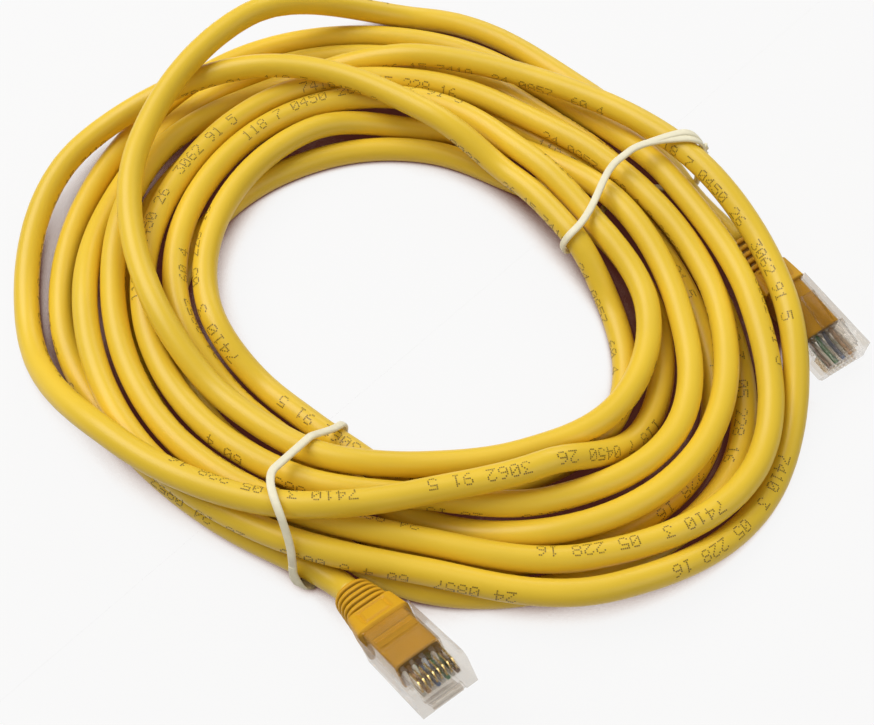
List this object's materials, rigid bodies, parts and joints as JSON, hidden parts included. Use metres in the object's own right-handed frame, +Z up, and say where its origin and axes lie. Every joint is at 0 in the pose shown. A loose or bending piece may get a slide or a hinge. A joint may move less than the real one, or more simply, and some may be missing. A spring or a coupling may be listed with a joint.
{
  "type": "ethernet patch cable",
  "caption": "Coiled yellow patch cable with clear modular plugs, sprung latch levers, ribbed boots and twist ties round the bundle.",
  "frame": {"origin": "middle of the bounding box on the floor", "axes": "+Z up; +X to the right and +Y away from the viewer, as in the picture"},
  "size_m": [0.1874, 0.1875, 0.0312],
  "materials": {
    "jacket": "satin yellow PVC",
    "boot": "satin orange-yellow PVC",
    "clear_plastic": "clear polycarbonate",
    "contact_gold": "gold plated",
    "tie_sheath": "satin off-white",
    "tie_wire": "plain",
    "wire_white_orange": "satin insulation",
    "wire_orange": "satin insulation",
    "wire_white_green": "satin insulation",
    "wire_blue": "satin insulation",
    "wire_white_blue": "satin insulation",
    "wire_green": "satin insulation",
    "wire_white_brown": "satin insulation",
    "wire_brown": "satin insulation"
  },
  "bodies": {
    "cable": {"cable_coil": "jacket", "front_cable_end": "jacket", "rear_cable_end": "jacket", "front_boot": "boot", "rear_boot": "boot", "front_housing": "clear_plastic", "rear_housing": "clear_plastic", "front_strain_bar": "clear_plastic", "rear_strain_bar": "clear_plastic", "front_wire_guide": "clear_plastic", "rear_wire_guide": "clear_plastic", "front_contacts": "contact_gold", "rear_contacts": "contact_gold", "front_wire_1": "wire_white_orange", "front_wire_2": "wire_orange", "front_wire_3": "wire_white_green", "front_wire_4": "wire_blue", "front_wire_5": "wire_white_blue", "front_wire_6": "wire_green", "front_wire_7": "wire_white_brown", "front_wire_8": "wire_brown", "rear_wire_1": "wire_white_orange", "rear_wire_2": "wire_orange", "rear_wire_3": "wire_white_green", "rear_wire_4": "wire_blue", "rear_wire_5": "wire_white_blue", "rear_wire_6": "wire_green", "rear_wire_7": "wire_white_brown", "rear_wire_8": "wire_brown", "left_tie_sheath": "tie_sheath", "left_tie_core": "tie_wire", "right_tie_sheath": "tie_sheath", "right_tie_core": "tie_wire"},
    "front_latch_lever": {"front_latch": "clear_plastic"},
    "rear_latch_lever": {"rear_latch": "clear_plastic"}
  },
  "joints": [
    {"name": "front_latch_bend", "type": "hinge", "parent": "cable", "child": "front_latch_lever", "pos_m": [0.00231, -0.08947, 0.02554], "axis": [0.809, 0.5878, 0], "range_deg": [0, 11], "stiffness_Nm_per_rad": 0.05},
    {"name": "rear_latch_bend", "type": "hinge", "parent": "cable", "child": "rear_latch_lever", "pos_m": [0.08799, -0.00939, 0.0072], "axis": [-0.8425, -0.5388, 0], "range_deg": [0, 11], "stiffness_Nm_per_rad": 0.05}
  ]
}
